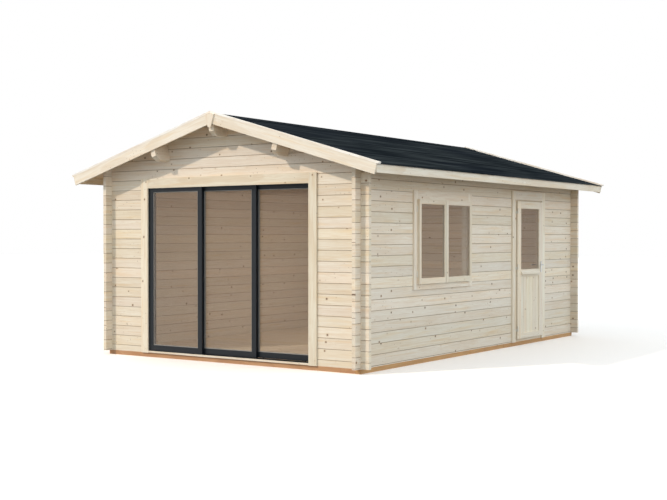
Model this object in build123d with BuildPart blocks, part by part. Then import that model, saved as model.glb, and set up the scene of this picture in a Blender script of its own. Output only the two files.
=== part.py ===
from build123d import *
import math
import os

os.makedirs("parts", exist_ok=True)

# Garden house of interlocking machined logs, in millimetres. The origin is on the ground under the
# middle of the house, +X is the long wall with the window and the side door, -Y is the gable with
# the sliding door, +Z is up.

# Walls: size over their outer faces, one log's section and how the corners cross
house_width = 3620
house_length = 5500
log_thickness = 44
log_course = 115
log_end = 100
seam_bevel = 4
first_seam = 119

# Foundation and floor
beam_height = 50
beam_width = 70
joist_count = 5
floor_board = 19
floor_gap = 10

# Roof: height of the felt at the ridge, slope, and how far it reaches past the walls
ridge_height = 2770
roof_pitch = 16.3
eave_reach = 320
gable_reach = 250
roof_board = 19
felt_thickness = 4
felt_overhang = 15
ridge_cap_reach = 180
barge_width = 112
barge_thickness = 20
lath_width = 45
lath_thickness = 20
lath_overrun = 30
lath_overhang = 2
board_joint = 2
fascia_height = 90
fascia_thickness = 20

# Purlins, with their profiled ends
purlin_width = 65
ridge_purlin_depth = 225
side_purlin_depth = 210
side_purlin_place = 905
purlin_nose_height = 50
purlin_nose_length = 65
purlin_slot_gap = 0.5

# Shield over the joint of the barge boards at each apex
shield_top_width = 125
shield_tip_width = 36
shield_drop = 160
shield_thickness = 16

# Sliding door: three panels on three tracks
slide_hole_width = 2420
slide_hole_top = 2030
jamb_face = 48
head_face = 40
sill_face = 18
panel_width = 811
panel_stile = 60
panel_top_rail = 53
panel_bottom_rail = 63
panel_thickness = 28
track_pitch = 40
first_track = 5
side_gap = 5
track_rib_width = 6
track_rib_height = 6
wheel_radius = 9
wheel_width = 5
wheel_inset = 120
seat_gap = 0.3
glass_thickness = 6
glass_rebate = 8
track_behind = 12
slide_casing_width = 105
slide_casing_top = 113
slide_casing_lap = 13
casing_thickness = 20
pale_sill_height = 20
pale_sill_foot = 3

# Window in the long wall: a pair of sashes on a deep frame
window_centre = -1025
window_hole_width = 1290
window_first_course = 7
window_frame_face = 62
frame_depth = 64
window_casing_width = 90
window_casing_foot = 60
sash_lap = 24
sash_slit = 3
sash_thickness = 32
sash_pair_width = 1228
sash_stile = 40
sash_top_rail = 50
sash_bottom_rail = 60
sash_gap = 6
sash_lift = 20
sash_drop = 74
hinge_barrel_radius = 7
hinge_barrel_length = 34
window_hinge_inset = 110

# Side door in the long wall
door_centre = 1275
door_leaf_width = 770
door_leaf_thickness = 40
door_leaf_face = 36
door_gap = 7
door_jamb = 30
door_head = 23.5
door_stop = 15
door_head_course = 16
threshold_height = 33
door_reveal = 10
door_casing_width = 98
door_casing_top = 113
door_stile = 105
door_top_rail = 91
door_mid_rail_bottom = 897
door_mid_rail_height = 86
door_bottom_rail = 65
door_panel_inset = 10
door_panel_thickness = 16
door_panel_boards = 6
door_panel_groove = 5
ledge_depth = 18
ledge_low = 918
ledge_edge = 22
ledge_height = 46
hinge_heights = (222, 1022, 1744)
hinge_out = 9
hinge_pin_radius = 3
hinge_pin_gap = 0.1
hinge_leaf_thickness = 3
hinge_leaf_reach = 26
lever_height = 1035
lever_inset = 52
lever_plate_height = 150
lever_plate_drop = 25
lever_plate_width = 34
lever_plate_thickness = 7
lever_length = 118
lever_radius = 8
lever_neck = 38
lever_neck_radius = 7
spindle_radius = 5
spindle_gap = 0.1

# Worked out from the sizes above
half_width = house_width / 2
half_length = house_length / 2
half_log = log_thickness / 2
half_course = log_course / 2
slope = math.tan(math.radians(roof_pitch))
slope_cos = math.cos(math.radians(roof_pitch))
slope_sin = math.sin(math.radians(roof_pitch))
board_top_ridge = ridge_height - felt_thickness / slope_cos
board_under_ridge = board_top_ridge - roof_board / slope_cos
board_eave = half_width + eave_reach
roof_end = half_length + gable_reach - barge_thickness
front_seams = [first_seam + k * log_course for k in range(0, 24)]
side_seams = [first_seam + half_course + k * log_course for k in range(-1, 24)]
slide_seam = front_seams[int((slide_hole_top - first_seam) // log_course)]
window_bottom = side_seams[window_first_course]
opening_top = side_seams[door_head_course]
floor_top = beam_height + floor_board


def under_roof(x):
    """Height of the underside of the roof boards over a place on the house's width."""
    return board_under_ridge - abs(x) * slope


def log_outline(bottom, top, seams):
    """Outline of a stack of logs, thickness by height, with a bevelled seam between the logs."""
    inner = [z for z in seams if bottom + seam_bevel < z < top - seam_bevel]
    right = [(half_log, bottom)]
    for z in inner:
        right += [(half_log, z - seam_bevel), (half_log - seam_bevel, z), (half_log, z + seam_bevel)]
    right.append((half_log, top))
    left = [(-u, z) for u, z in reversed(right)]
    return right + left


def logs_along_x(x_from, x_to, y_middle, bottom, top):
    """Stack of logs that runs along X, added to the part being built."""
    with BuildSketch(Plane.YZ.offset(x_from)) as stack:
        with BuildLine():
            Polyline([(y_middle + u, z) for u, z in log_outline(bottom, top, front_seams)], close=True)
        make_face()
    extrude(stack.sketch, amount=x_to - x_from)


def logs_along_y(y_from, y_to, x_middle, bottom, top):
    """Stack of logs that runs along Y, added to the part being built."""
    with BuildSketch(Plane.XZ.offset(-y_to)) as stack:
        with BuildLine():
            Polyline([(x_middle + u, z) for u, z in log_outline(bottom, top, side_seams)], close=True)
        make_face()
    extrude(stack.sketch, amount=y_to - y_from)


def notch_corner(x_middle, y_middle, bottom, top, seams):
    """Half-depth notches where the logs of two walls cross, centred on each seam."""
    heights = {}
    for z in seams:
        low = max(z - half_course / 2, bottom)
        high = min(z + half_course / 2, top)
        if high > low:
            heights.setdefault(round(high - low, 3), []).append((x_middle, y_middle, (low + high) / 2))
    for height, middles in heights.items():
        with Locations(*middles):
            Box(log_thickness, log_thickness, height, mode=Mode.SUBTRACT)


def trim_to_roof():
    """Cuts away all that stands above the underside of the roof boards."""
    reach = house_width
    with BuildSketch(Plane.XZ.offset(-house_length)) as sky:
        with BuildLine():
            Polyline(
                (-reach, under_roof(reach)),
                (0, under_roof(0)),
                (reach, under_roof(reach)),
                (reach, ridge_height + reach),
                (-reach, ridge_height + reach),
                close=True,
            )
        make_face()
    extrude(sky.sketch, amount=2 * house_length, mode=Mode.SUBTRACT)


def purlin_side(depth):
    """Side view of a purlin, along its length, with the underside rising to a blunt nose."""
    reach = roof_end
    Polyline(
        (-reach, 0),
        (-reach, purlin_nose_height - depth),
        (-reach + purlin_nose_length, -depth),
        (reach - purlin_nose_length, -depth),
        (reach, purlin_nose_height - depth),
        (reach, 0),
        close=True,
    )


def purlin_plane(side):
    """Plane through a side purlin's middle: first axis along Y, second square to the roof."""
    return Plane(
        origin=(side * side_purlin_place, 0, under_roof(side_purlin_place)),
        x_dir=(0, 1, 0),
        z_dir=(slope_cos, 0, -side * slope_sin),
    )


def side_purlin_slot(side):
    """Slot of a side purlin through the gable logs, open to the roof."""
    with BuildSketch(purlin_plane(side)) as slot:
        with Locations((0, -side_purlin_depth / 2 + log_course / 2)):
            Rectangle(3 * house_length, side_purlin_depth + log_course)
    extrude(slot.sketch, amount=purlin_width / 2 + purlin_slot_gap, both=True, mode=Mode.SUBTRACT)


def ridge_purlin_slot():
    """Slot of the ridge purlin through the gable logs, open to the roof."""
    with Locations((0, 0, under_roof(0) - ridge_purlin_depth / 2 + log_course / 2)):
        Box(
            purlin_width + 2 * purlin_slot_gap,
            3 * house_length,
            ridge_purlin_depth + log_course,
            mode=Mode.SUBTRACT,
        )


# Foundation: impregnated beams flush with the walls' outer faces, and joists between them
with BuildPart() as side_beams:
    with Locations(
        (half_width - beam_width / 2, 0, beam_height / 2),
        (-half_width + beam_width / 2, 0, beam_height / 2),
    ):
        Box(beam_width, house_length, beam_height)
side_beams.part.label = "side_beams"
export_step(side_beams.part, "parts/side_beams.step")

beam_span = house_width - 2 * beam_width
with BuildPart() as end_beams:
    with Locations(
        (0, half_length - beam_width / 2, beam_height / 2),
        (0, -half_length + beam_width / 2, beam_height / 2),
    ):
        Box(beam_span, beam_width, beam_height)
end_beams.part.label = "end_beams"
export_step(end_beams.part, "parts/end_beams.step")

joist_pitch = beam_span / (joist_count + 1)
with BuildPart() as floor_joists:
    with Locations((0, 0, beam_height / 2)):
        with GridLocations(joist_pitch, 1, joist_count, 1):
            Box(beam_width, house_length - 2 * beam_width, beam_height)
floor_joists.part.label = "floor_joists"
export_step(floor_joists.part, "parts/floor_joists.step")

# Floor boards, cut out round the sliding door's frame and the side door's frame
inner_half_width = half_width - log_thickness
inner_half_length = half_length - log_thickness
tracks_depth = first_track + 2 * track_pitch + panel_thickness + track_behind
slide_front = -half_length
slide_back = slide_front + tracks_depth
frame_back = half_width - frame_depth
door_hole_width = door_leaf_width + 2 * door_gap + 2 * door_jamb
with BuildPart() as floor_boards:
    with Locations((0, 0, beam_height + floor_board / 2)):
        Box(2 * (inner_half_width - floor_gap), 2 * (inner_half_length - floor_gap), floor_board)
    with Locations((0, (slide_back + floor_gap - half_length) / 2, floor_top)):
        Box(
            slide_hole_width + 2 * floor_gap,
            half_length + slide_back + floor_gap,
            3 * floor_board,
            mode=Mode.SUBTRACT,
        )
    with Locations(((half_width + frame_back - floor_gap) / 2, door_centre, floor_top)):
        Box(
            half_width - frame_back + floor_gap,
            door_hole_width + 2 * floor_gap,
            3 * floor_board,
            mode=Mode.SUBTRACT,
        )
floor_boards.part.label = "floor_boards"
export_step(floor_boards.part, "parts/floor_boards.step")

# Front gable wall: a pier on each side of the sliding door, and the gable over both
front_y = -half_length + half_log
corner_x = half_width - half_log
log_reach = half_width + log_end
for side, name in ((-1, "front_wall_left"), (1, "front_wall_right")):
    pier_edges = sorted((side * slide_hole_width / 2, side * log_reach))
    with BuildPart() as front_pier:
        logs_along_x(pier_edges[0], pier_edges[1], front_y, beam_height, slide_seam)
        notch_corner(side * corner_x, front_y, beam_height, slide_seam, front_seams)
    front_pier.part.label = name
    export_step(front_pier.part, f"parts/{name}.step")

# The topmost log that still crosses the side walls ends at this seam
top_crossing = max(z for z in front_seams if z < under_roof(log_reach))


def gable(y_middle, bottom):
    """Gable logs under the roof boards, with crossed ends and slots for the purlins."""
    logs_along_x(-log_reach, log_reach, y_middle, bottom, ridge_height)
    for side in (-1, 1):
        notch_corner(side * corner_x, y_middle, bottom, top_crossing + half_course / 2, front_seams)
        with Locations((side * (half_width + log_end / 2), y_middle, (top_crossing + ridge_height) / 2)):
            Box(
                log_end + 2 * log_thickness,
                2 * log_thickness,
                ridge_height - top_crossing,
                mode=Mode.SUBTRACT,
            )
        side_purlin_slot(side)
    ridge_purlin_slot()
    trim_to_roof()


with BuildPart() as front_gable:
    gable(front_y, slide_seam)
    with Locations((0, front_y, (slide_seam + slide_hole_top) / 2)):
        Box(slide_hole_width, 2 * log_thickness, slide_hole_top - slide_seam, mode=Mode.SUBTRACT)
front_gable.part.label = "front_gable"
export_step(front_gable.part, "parts/front_gable.step")

# Rear wall: plain logs from the beam to the ridge
with BuildPart() as rear_wall:
    gable(-front_y, beam_height)
rear_wall.part.label = "rear_wall"
export_step(rear_wall.part, "parts/rear_wall.step")

# Long walls: their logs sit half a course higher than the gables' logs
end_reach = half_length + log_end
left_top = under_roof(corner_x - log_thickness)
last_side_notch = top_crossing - half_course / 2
with BuildPart() as left_wall:
    logs_along_y(-end_reach, end_reach, -corner_x, beam_height, left_top)
    for y_middle in (front_y, -front_y):
        notch_corner(-corner_x, y_middle, beam_height, last_side_notch, side_seams)
    trim_to_roof()
left_wall.part.label = "left_wall"
export_step(left_wall.part, "parts/left_wall.step")

# The long wall with the openings is split at the seams beside and over them
window_edges = (window_centre - window_hole_width / 2, window_centre + window_hole_width / 2)
door_edges = (door_centre - door_hole_width / 2, door_centre + door_hole_width / 2)
right_pieces = {
    "right_wall_lower": (-end_reach, door_edges[0], beam_height, window_bottom),
    "right_wall_corner": (-end_reach, window_edges[0], window_bottom, opening_top),
    "right_wall_middle": (window_edges[1], door_edges[0], window_bottom, opening_top),
    "right_wall_rear": (door_edges[1], end_reach, beam_height, opening_top),
    "right_wall_top": (-end_reach, end_reach, opening_top, left_top),
}
for name, (y_from, y_to, bottom, top) in right_pieces.items():
    with BuildPart() as right_piece:
        logs_along_y(y_from, y_to, corner_x, bottom, top)
        for y_middle in (front_y, -front_y):
            if y_from < y_middle < y_to:
                notch_corner(corner_x, y_middle, bottom, min(top, last_side_notch), side_seams)
        if top > opening_top:
            trim_to_roof()
    right_piece.part.label = name
    export_step(right_piece.part, f"parts/{name}.step")

# Purlins: the ridge purlin stands upright with a top bevelled to both slopes
with BuildPart() as ridge_purlin:
    with BuildSketch(Plane(origin=(0, 0, under_roof(0)), x_dir=(0, 1, 0), z_dir=(1, 0, 0))):
        with BuildLine():
            purlin_side(ridge_purlin_depth)
        make_face()
    extrude(amount=purlin_width / 2, both=True)
    trim_to_roof()
ridge_purlin.part.label = "ridge_purlin"
export_step(ridge_purlin.part, "parts/ridge_purlin.step")

# The side purlins stand square to their slope
with BuildPart() as side_purlins:
    for side in (-1, 1):
        with BuildSketch(purlin_plane(side)):
            with BuildLine():
                purlin_side(side_purlin_depth)
            make_face()
        extrude(amount=purlin_width / 2, both=True)
side_purlins.part.label = "side_purlins"
export_step(side_purlins.part, "parts/side_purlins.step")


def slope_slab(side, x_from, x_to, ridge_z, thickness, length):
    """Sheet on one slope, plumb at the ridge and at the eave, added to the part being built."""
    drop = thickness / slope_cos
    with BuildSketch(Plane.XZ.offset(-length / 2)) as sheet:
        with BuildLine():
            Polyline(
                (side * x_from, ridge_z - x_from * slope),
                (side * x_to, ridge_z - x_to * slope),
                (side * x_to, ridge_z - x_to * slope - drop),
                (side * x_from, ridge_z - x_from * slope - drop),
                close=True,
            )
        make_face()
    extrude(sheet.sketch, amount=length)


# Roof boards and roofing felt on each slope, and the felt cap over the ridge
fascia_face = board_eave + fascia_thickness
cap_lift = felt_thickness / slope_cos
for side, word in ((-1, "left"), (1, "right")):
    with BuildPart() as boards:
        slope_slab(side, 0, board_eave, board_top_ridge, roof_board, 2 * roof_end)
    boards.part.label = f"roof_boards_{word}"
    export_step(boards.part, f"parts/roof_boards_{word}.step")
    with BuildPart() as felt:
        slope_slab(side, 0, fascia_face + felt_overhang, ridge_height, felt_thickness, 2 * roof_end)
    felt.part.label = f"roof_felt_{word}"
    export_step(felt.part, f"parts/roof_felt_{word}.step")

lath_front = half_length + gable_reach + lath_overhang
lath_back = lath_front - lath_width
with BuildPart() as ridge_cap:
    for side in (-1, 1):
        slope_slab(side, 0, ridge_cap_reach, ridge_height + cap_lift, felt_thickness, 2 * lath_back)
ridge_cap.part.label = "ridge_cap"
export_step(ridge_cap.part, "parts/ridge_cap.step")


def barge_pair(end):
    """Two barge boards on one gable that meet plumb at the ridge, with square-cut lower ends."""
    barge_reach = fascia_face + barge_thickness / 2
    top_end = (barge_reach, ridge_height - barge_reach * slope)
    foot = (top_end[0] - barge_width * slope_sin, top_end[1] - barge_width * slope_cos)
    for side in (-1, 1):
        face = Plane.XZ.offset(half_length + gable_reach if end < 0 else -roof_end)
        with BuildSketch(face) as board:
            with BuildLine():
                Polyline(
                    (side * board_joint / 2, ridge_height - board_joint / 2 * slope),
                    (side * top_end[0], top_end[1]),
                    (side * foot[0], foot[1]),
                    (side * board_joint / 2, foot[1] + (foot[0] - board_joint / 2) * slope),
                    close=True,
                )
            make_face()
        extrude(board.sketch, amount=-barge_thickness)


def lath_pair(end):
    """Two cover laths on one gable, laid on the felt over the barge boards' top edges."""
    reach = fascia_face + lath_overrun
    top_ridge = ridge_height + lath_thickness / slope_cos
    for side in (-1, 1):
        with BuildSketch(Plane.XZ.offset(lath_front if end < 0 else -lath_back)) as lath:
            with BuildLine():
                Polyline(
                    (side * board_joint / 2, ridge_height - board_joint / 2 * slope),
                    (side * reach, ridge_height - reach * slope),
                    (
                        side * (reach + lath_thickness * slope_sin),
                        top_ridge - (reach + lath_thickness * slope_sin) * slope,
                    ),
                    (side * board_joint / 2, top_ridge - board_joint / 2 * slope),
                    close=True,
                )
            make_face()
        extrude(lath.sketch, amount=-lath_width)


for end, word in ((-1, "front"), (1, "rear")):
    with BuildPart() as barge_boards:
        barge_pair(end)
    barge_boards.part.label = f"barge_boards_{word}"
    export_step(barge_boards.part, f"parts/barge_boards_{word}.step")
    with BuildPart() as cover_laths:
        lath_pair(end)
    cover_laths.part.label = f"cover_laths_{word}"
    export_step(cover_laths.part, f"parts/cover_laths_{word}.step")

# Tapered shields that cover the apex joints, one on each gable
with BuildPart() as apex_shields:
    for end in (-1, 1):
        face = half_length + gable_reach
        with BuildSketch(Plane.XZ.offset(face if end < 0 else -face - shield_thickness)):
            with BuildLine():
                Polyline(
                    (-shield_top_width / 2, ridge_height - shield_top_width / 2 * slope),
                    (0, ridge_height),
                    (shield_top_width / 2, ridge_height - shield_top_width / 2 * slope),
                    (shield_tip_width / 2, ridge_height - shield_drop),
                    (-shield_tip_width / 2, ridge_height - shield_drop),
                    close=True,
                )
            make_face()
        extrude(amount=shield_thickness)
apex_shields.part.label = "apex_shields"
export_step(apex_shields.part, "parts/apex_shields.step")

# Fascia boards along both eaves, on the ends of the roof boards
fascia_top = board_top_ridge - fascia_face * slope
with BuildPart() as eave_fascias:
    with Locations(
        (board_eave + fascia_thickness / 2, 0, fascia_top - fascia_height / 2),
        (-board_eave - fascia_thickness / 2, 0, fascia_top - fascia_height / 2),
    ):
        Box(fascia_thickness, 2 * roof_end, fascia_height)
eave_fascias.part.label = "eave_fascias"
export_step(eave_fascias.part, "parts/eave_fascias.step")

# Sliding door frame: jambs, head and sill round the tracks, with a rib for the wheels on each track
slide_half = slide_hole_width / 2
track_faces = [slide_front + first_track + k * track_pitch for k in range(3)]
track_middles = [face + panel_thickness / 2 for face in track_faces]
sill_top = beam_height + sill_face
rib_top = sill_top + track_rib_height
panel_bottom = rib_top + side_gap
panel_top = slide_hole_top - head_face - side_gap
with BuildPart() as sliding_frame:
    with BuildSketch(Plane.XZ.offset(-slide_back)):
        with Locations((0, (beam_height + slide_hole_top) / 2)):
            Rectangle(slide_hole_width, slide_hole_top - beam_height)
        with Locations((0, (sill_top + slide_hole_top - head_face) / 2)):
            Rectangle(
                slide_hole_width - 2 * jamb_face,
                slide_hole_top - head_face - sill_top,
                mode=Mode.SUBTRACT,
            )
    extrude(amount=tracks_depth)
    for middle in track_middles:
        with Locations((0, middle, sill_top + track_rib_height / 2)):
            Box(slide_hole_width - 2 * jamb_face, track_rib_width, track_rib_height)
sliding_frame.part.label = "sliding_frame"
export_step(sliding_frame.part, "parts/sliding_frame.step")

# Casing boards round the sliding door, and the pale strip under its sill
slide_inner_half = slide_half - jamb_face
with BuildPart() as sliding_casing:
    with BuildSketch(Plane.XZ.offset(half_length)):
        casing_half = slide_inner_half + slide_casing_width
        casing_top = slide_hole_top - head_face - slide_casing_lap + slide_casing_top
        with Locations((0, (beam_height + casing_top) / 2)):
            Rectangle(2 * casing_half, casing_top - beam_height)
        with Locations((0, (beam_height + casing_top - slide_casing_top) / 2)):
            Rectangle(
                2 * slide_inner_half,
                casing_top - slide_casing_top - beam_height,
                mode=Mode.SUBTRACT,
            )
        with Locations((0, beam_height + pale_sill_foot + pale_sill_height / 2)):
            Rectangle(2 * slide_inner_half, pale_sill_height)
    extrude(amount=casing_thickness)
sliding_casing.part.label = "sliding_casing"
export_step(sliding_casing.part, "parts/sliding_casing.step")

# The three panels overlap by one stile: each is an aluminium frame with wheels, and its glass
panel_step = panel_width - panel_stile
panel_lefts = [-slide_inner_half + side_gap + k * panel_step for k in range(3)]
for k, word in enumerate(("left", "middle", "right")):
    left = panel_lefts[k]
    centre = left + panel_width / 2
    glass_half = panel_width / 2 - panel_stile
    glass_low = panel_bottom + panel_bottom_rail
    glass_high = panel_top - panel_top_rail
    with BuildPart() as panel:
        with BuildSketch(Plane.XZ.offset(-track_faces[k] - panel_thickness)):
            with Locations((centre, (panel_bottom + panel_top) / 2)):
                Rectangle(panel_width, panel_top - panel_bottom)
            with Locations((centre, (glass_low + glass_high) / 2)):
                Rectangle(2 * glass_half, glass_high - glass_low, mode=Mode.SUBTRACT)
        extrude(amount=panel_thickness)
        with Locations((centre, track_middles[k], (glass_low + glass_high) / 2)):
            Box(
                2 * (glass_half + glass_rebate),
                glass_thickness,
                glass_high - glass_low + 2 * glass_rebate,
                mode=Mode.SUBTRACT,
            )
        for place in (left + wheel_inset, left + panel_width - wheel_inset):
            with BuildSketch(Plane.XZ.offset(-track_middles[k] - wheel_width / 2)):
                with Locations((place, rib_top + seat_gap + wheel_radius)):
                    Circle(wheel_radius)
            extrude(amount=wheel_width)
    panel.part.label = f"sliding_panel_{word}"
    export_step(panel.part, f"parts/sliding_panel_{word}.step")
    with BuildPart() as pane:
        with Locations((centre, track_middles[k], (glass_low + glass_high) / 2)):
            Box(
                2 * (glass_half + glass_rebate),
                glass_thickness,
                glass_high - glass_low + 2 * glass_rebate,
            )
    pane.part.label = f"sliding_glass_{word}"
    export_step(pane.part, f"parts/sliding_glass_{word}.step")


def side_plane(x):
    """Plane at one X for work on the long wall: first axis along +Y, second up, normal +X."""
    return Plane(origin=(x, 0, 0), x_dir=(0, 1, 0), z_dir=(1, 0, 0))


def ring(y_middle, width, bottom, top, face, foot, head):
    """Flat frame outline in the sketch being drawn, with one face width, a foot and a head."""
    with Locations((y_middle, (bottom + top) / 2)):
        Rectangle(width, top - bottom)
    with Locations((y_middle, (bottom + foot + top - head) / 2)):
        Rectangle(width - 2 * face, top - head - bottom - foot, mode=Mode.SUBTRACT)


# Window frame, flush with the wall's face, and the casing boards that cover its joint
casing_front = half_width + casing_thickness
sash_low = window_bottom + sash_lift
sash_high = opening_top - sash_drop
with BuildPart() as window_frame:
    with BuildSketch(side_plane(frame_back)):
        ring(
            window_centre,
            window_hole_width,
            window_bottom,
            opening_top,
            window_frame_face,
            sash_lift + sash_bottom_rail - glass_rebate,
            sash_drop + sash_top_rail - glass_rebate,
        )
    extrude(amount=frame_depth)
window_frame.part.label = "window_frame"
export_step(window_frame.part, "parts/window_frame.step")

with BuildPart() as window_casing:
    with BuildSketch(side_plane(half_width)):
        ring(
            window_centre,
            sash_pair_width - 2 * sash_lap + 2 * window_casing_width,
            sash_low - sash_slit - window_casing_foot,
            sash_high + sash_slit + window_casing_width,
            window_casing_width,
            window_casing_foot,
            window_casing_width,
        )
    extrude(amount=casing_thickness)
window_casing.part.label = "window_casing"
export_step(window_casing.part, "parts/window_casing.step")

# The two sashes stand on the casing's inner edge, side by side
sash_width = (sash_pair_width - sash_gap) / 2
sash_offset = (sash_width + sash_gap) / 2
with BuildPart() as window_sashes:
    with BuildSketch(side_plane(casing_front)):
        for sign in (-1, 1):
            ring(
                window_centre + sign * sash_offset,
                sash_width,
                sash_low,
                sash_high,
                sash_stile,
                sash_bottom_rail,
                sash_top_rail,
            )
    extrude(amount=sash_thickness)
    for sign in (-1, 1):
        with Locations(
            (
                casing_front + sash_thickness / 2,
                window_centre + sign * sash_offset,
                (sash_low + sash_bottom_rail + sash_high - sash_top_rail) / 2,
            )
        ):
            Box(
                glass_thickness,
                sash_width - 2 * sash_stile + 2 * glass_rebate,
                sash_high - sash_low - sash_bottom_rail - sash_top_rail + 2 * glass_rebate,
                mode=Mode.SUBTRACT,
            )
window_sashes.part.label = "window_sashes"
export_step(window_sashes.part, "parts/window_sashes.step")

with BuildPart() as window_glass:
    for sign in (-1, 1):
        with Locations(
            (
                casing_front + sash_thickness / 2,
                window_centre + sign * sash_offset,
                (sash_low + sash_bottom_rail + sash_high - sash_top_rail) / 2,
            )
        ):
            Box(
                glass_thickness,
                sash_width - 2 * sash_stile + 2 * glass_rebate,
                sash_high - sash_low - sash_bottom_rail - sash_top_rail + 2 * glass_rebate,
            )
window_glass.part.label = "window_glass"
export_step(window_glass.part, "parts/window_glass.step")

# Barrel hinges beside the sashes, standing on the casing
sash_edge = sash_pair_width / 2 + hinge_barrel_radius
with BuildPart() as window_hinges:
    for sign in (-1, 1):
        for z in (sash_low + window_hinge_inset, sash_high - window_hinge_inset):
            with Locations(
                (casing_front + hinge_barrel_radius, window_centre + sign * sash_edge, z)
            ):
                Cylinder(hinge_barrel_radius, 2 * hinge_barrel_length)
window_hinges.part.label = "window_hinges"
export_step(window_hinges.part, "parts/window_hinges.step")

# Side door frame: jambs and head with a stop behind the leaf, and a threshold
door_leaf_half = door_leaf_width / 2
leaf_front = half_width + door_leaf_face
leaf_back = leaf_front - door_leaf_thickness
leaf_bottom = beam_height + threshold_height + door_gap
leaf_top = opening_top - door_head - door_gap
stop_depth = leaf_back - door_gap - frame_back
with BuildPart() as door_frame:
    with BuildSketch(side_plane(frame_back)):
        ring(
            door_centre,
            door_hole_width,
            beam_height,
            opening_top,
            door_jamb,
            threshold_height,
            door_head,
        )
    extrude(amount=frame_depth)
    with BuildSketch(side_plane(frame_back)):
        ring(
            door_centre,
            door_hole_width,
            beam_height,
            opening_top,
            door_jamb + door_stop,
            threshold_height,
            door_head + door_stop,
        )
    extrude(amount=stop_depth)
door_frame.part.label = "door_frame"
export_step(door_frame.part, "parts/door_frame.step")

# Casing boards on both sides of the door and over it, a reveal back from the jambs
casing_opening = door_leaf_width + 2 * door_gap + 2 * door_reveal
casing_head = leaf_top + door_gap + door_reveal
with BuildPart() as door_casing:
    with BuildSketch(side_plane(half_width)):
        ring(
            door_centre,
            casing_opening + 2 * door_casing_width,
            beam_height,
            casing_head + door_casing_top,
            door_casing_width,
            0,
            door_casing_top,
        )
    extrude(amount=casing_thickness)
door_casing.part.label = "door_casing"
export_step(door_casing.part, "parts/door_casing.step")

# Side door leaf: framed glass over a panel of grooved boards, with a rain ledge between them
leaf_edges = (door_centre - door_leaf_half, door_centre + door_leaf_half)
light_low = door_mid_rail_bottom + door_mid_rail_height
light_high = leaf_top - door_top_rail
light_width = door_leaf_width - 2 * door_stile
panel_low = leaf_bottom + door_bottom_rail
lever_y = leaf_edges[1] - lever_inset
with BuildPart() as door_leaf:
    with BuildSketch(side_plane(leaf_back)):
        with Locations((door_centre, (leaf_bottom + leaf_top) / 2)):
            Rectangle(door_leaf_width, leaf_top - leaf_bottom)
        with Locations((door_centre, (light_low + light_high) / 2)):
            Rectangle(light_width, light_high - light_low, mode=Mode.SUBTRACT)
        with Locations((door_centre, (panel_low + door_mid_rail_bottom) / 2)):
            Rectangle(light_width, door_mid_rail_bottom - panel_low, mode=Mode.SUBTRACT)
    extrude(amount=door_leaf_thickness)
    with Locations(
        (
            leaf_front - door_panel_inset - door_panel_thickness / 2,
            door_centre,
            (panel_low + door_mid_rail_bottom) / 2,
        )
    ):
        Box(door_panel_thickness, light_width, door_mid_rail_bottom - panel_low)
    board_pitch = light_width / door_panel_boards
    with BuildSketch(Plane.XY.offset(panel_low)):
        for k in range(1, door_panel_boards):
            with Locations(
                (leaf_front - door_panel_inset, door_centre - light_width / 2 + k * board_pitch)
            ):
                Rectangle(door_panel_groove * math.sqrt(2), door_panel_groove * math.sqrt(2), rotation=45)
    extrude(amount=door_mid_rail_bottom - panel_low, mode=Mode.SUBTRACT)
    with BuildSketch(Plane.XZ.offset(-door_centre - light_width / 2)):
        with BuildLine():
            Polyline(
                (leaf_front, ledge_low),
                (leaf_front + ledge_depth, ledge_low),
                (leaf_front + ledge_depth, ledge_low + ledge_edge),
                (leaf_front, ledge_low + ledge_height),
                close=True,
            )
        make_face()
    extrude(amount=light_width)
    with Locations((leaf_front - door_leaf_thickness / 2, door_centre, (light_low + light_high) / 2)):
        Box(
            glass_thickness,
            light_width + 2 * glass_rebate,
            light_high - light_low + 2 * glass_rebate,
            mode=Mode.SUBTRACT,
        )
    with BuildSketch(side_plane(leaf_back)):
        with Locations((lever_y, lever_height)):
            Circle(spindle_radius + spindle_gap)
    extrude(amount=door_leaf_thickness, mode=Mode.SUBTRACT)
door_leaf.part.label = "door_leaf"
export_step(door_leaf.part, "parts/door_leaf.step")

with BuildPart() as door_glass:
    with Locations((leaf_front - door_leaf_thickness / 2, door_centre, (light_low + light_high) / 2)):
        Box(
            glass_thickness,
            light_width + 2 * glass_rebate,
            light_high - light_low + 2 * glass_rebate,
        )
door_glass.part.label = "door_glass"
export_step(door_glass.part, "parts/door_glass.step")

# Lift-off hinges: a knuckle with the pin on the frame, and a knuckle that drops over it on the leaf
hinge_x = leaf_front + hinge_out
hinge_y = leaf_edges[0] - door_gap / 2
knuckle_shift = (hinge_barrel_length + seat_gap) / 2
with BuildPart() as door_hinge_pins:
    for z in hinge_heights:
        with Locations((hinge_x, hinge_y, z - knuckle_shift)):
            Cylinder(hinge_barrel_radius, hinge_barrel_length)
        with Locations((hinge_x, hinge_y, z)):
            Cylinder(hinge_pin_radius, hinge_barrel_length)
        with Locations(
            (
                (casing_front + hinge_x) / 2,
                hinge_y - hinge_barrel_radius / 2,
                z - knuckle_shift,
            )
        ):
            Box(hinge_x - casing_front, hinge_barrel_radius, hinge_barrel_length)
        with Locations(
            (
                casing_front + hinge_leaf_thickness / 2,
                hinge_y - hinge_leaf_reach / 2,
                z - knuckle_shift,
            )
        ):
            Box(hinge_leaf_thickness, hinge_leaf_reach, hinge_barrel_length)
door_hinge_pins.part.label = "door_hinge_pins"
export_step(door_hinge_pins.part, "parts/door_hinge_pins.step")

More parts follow.
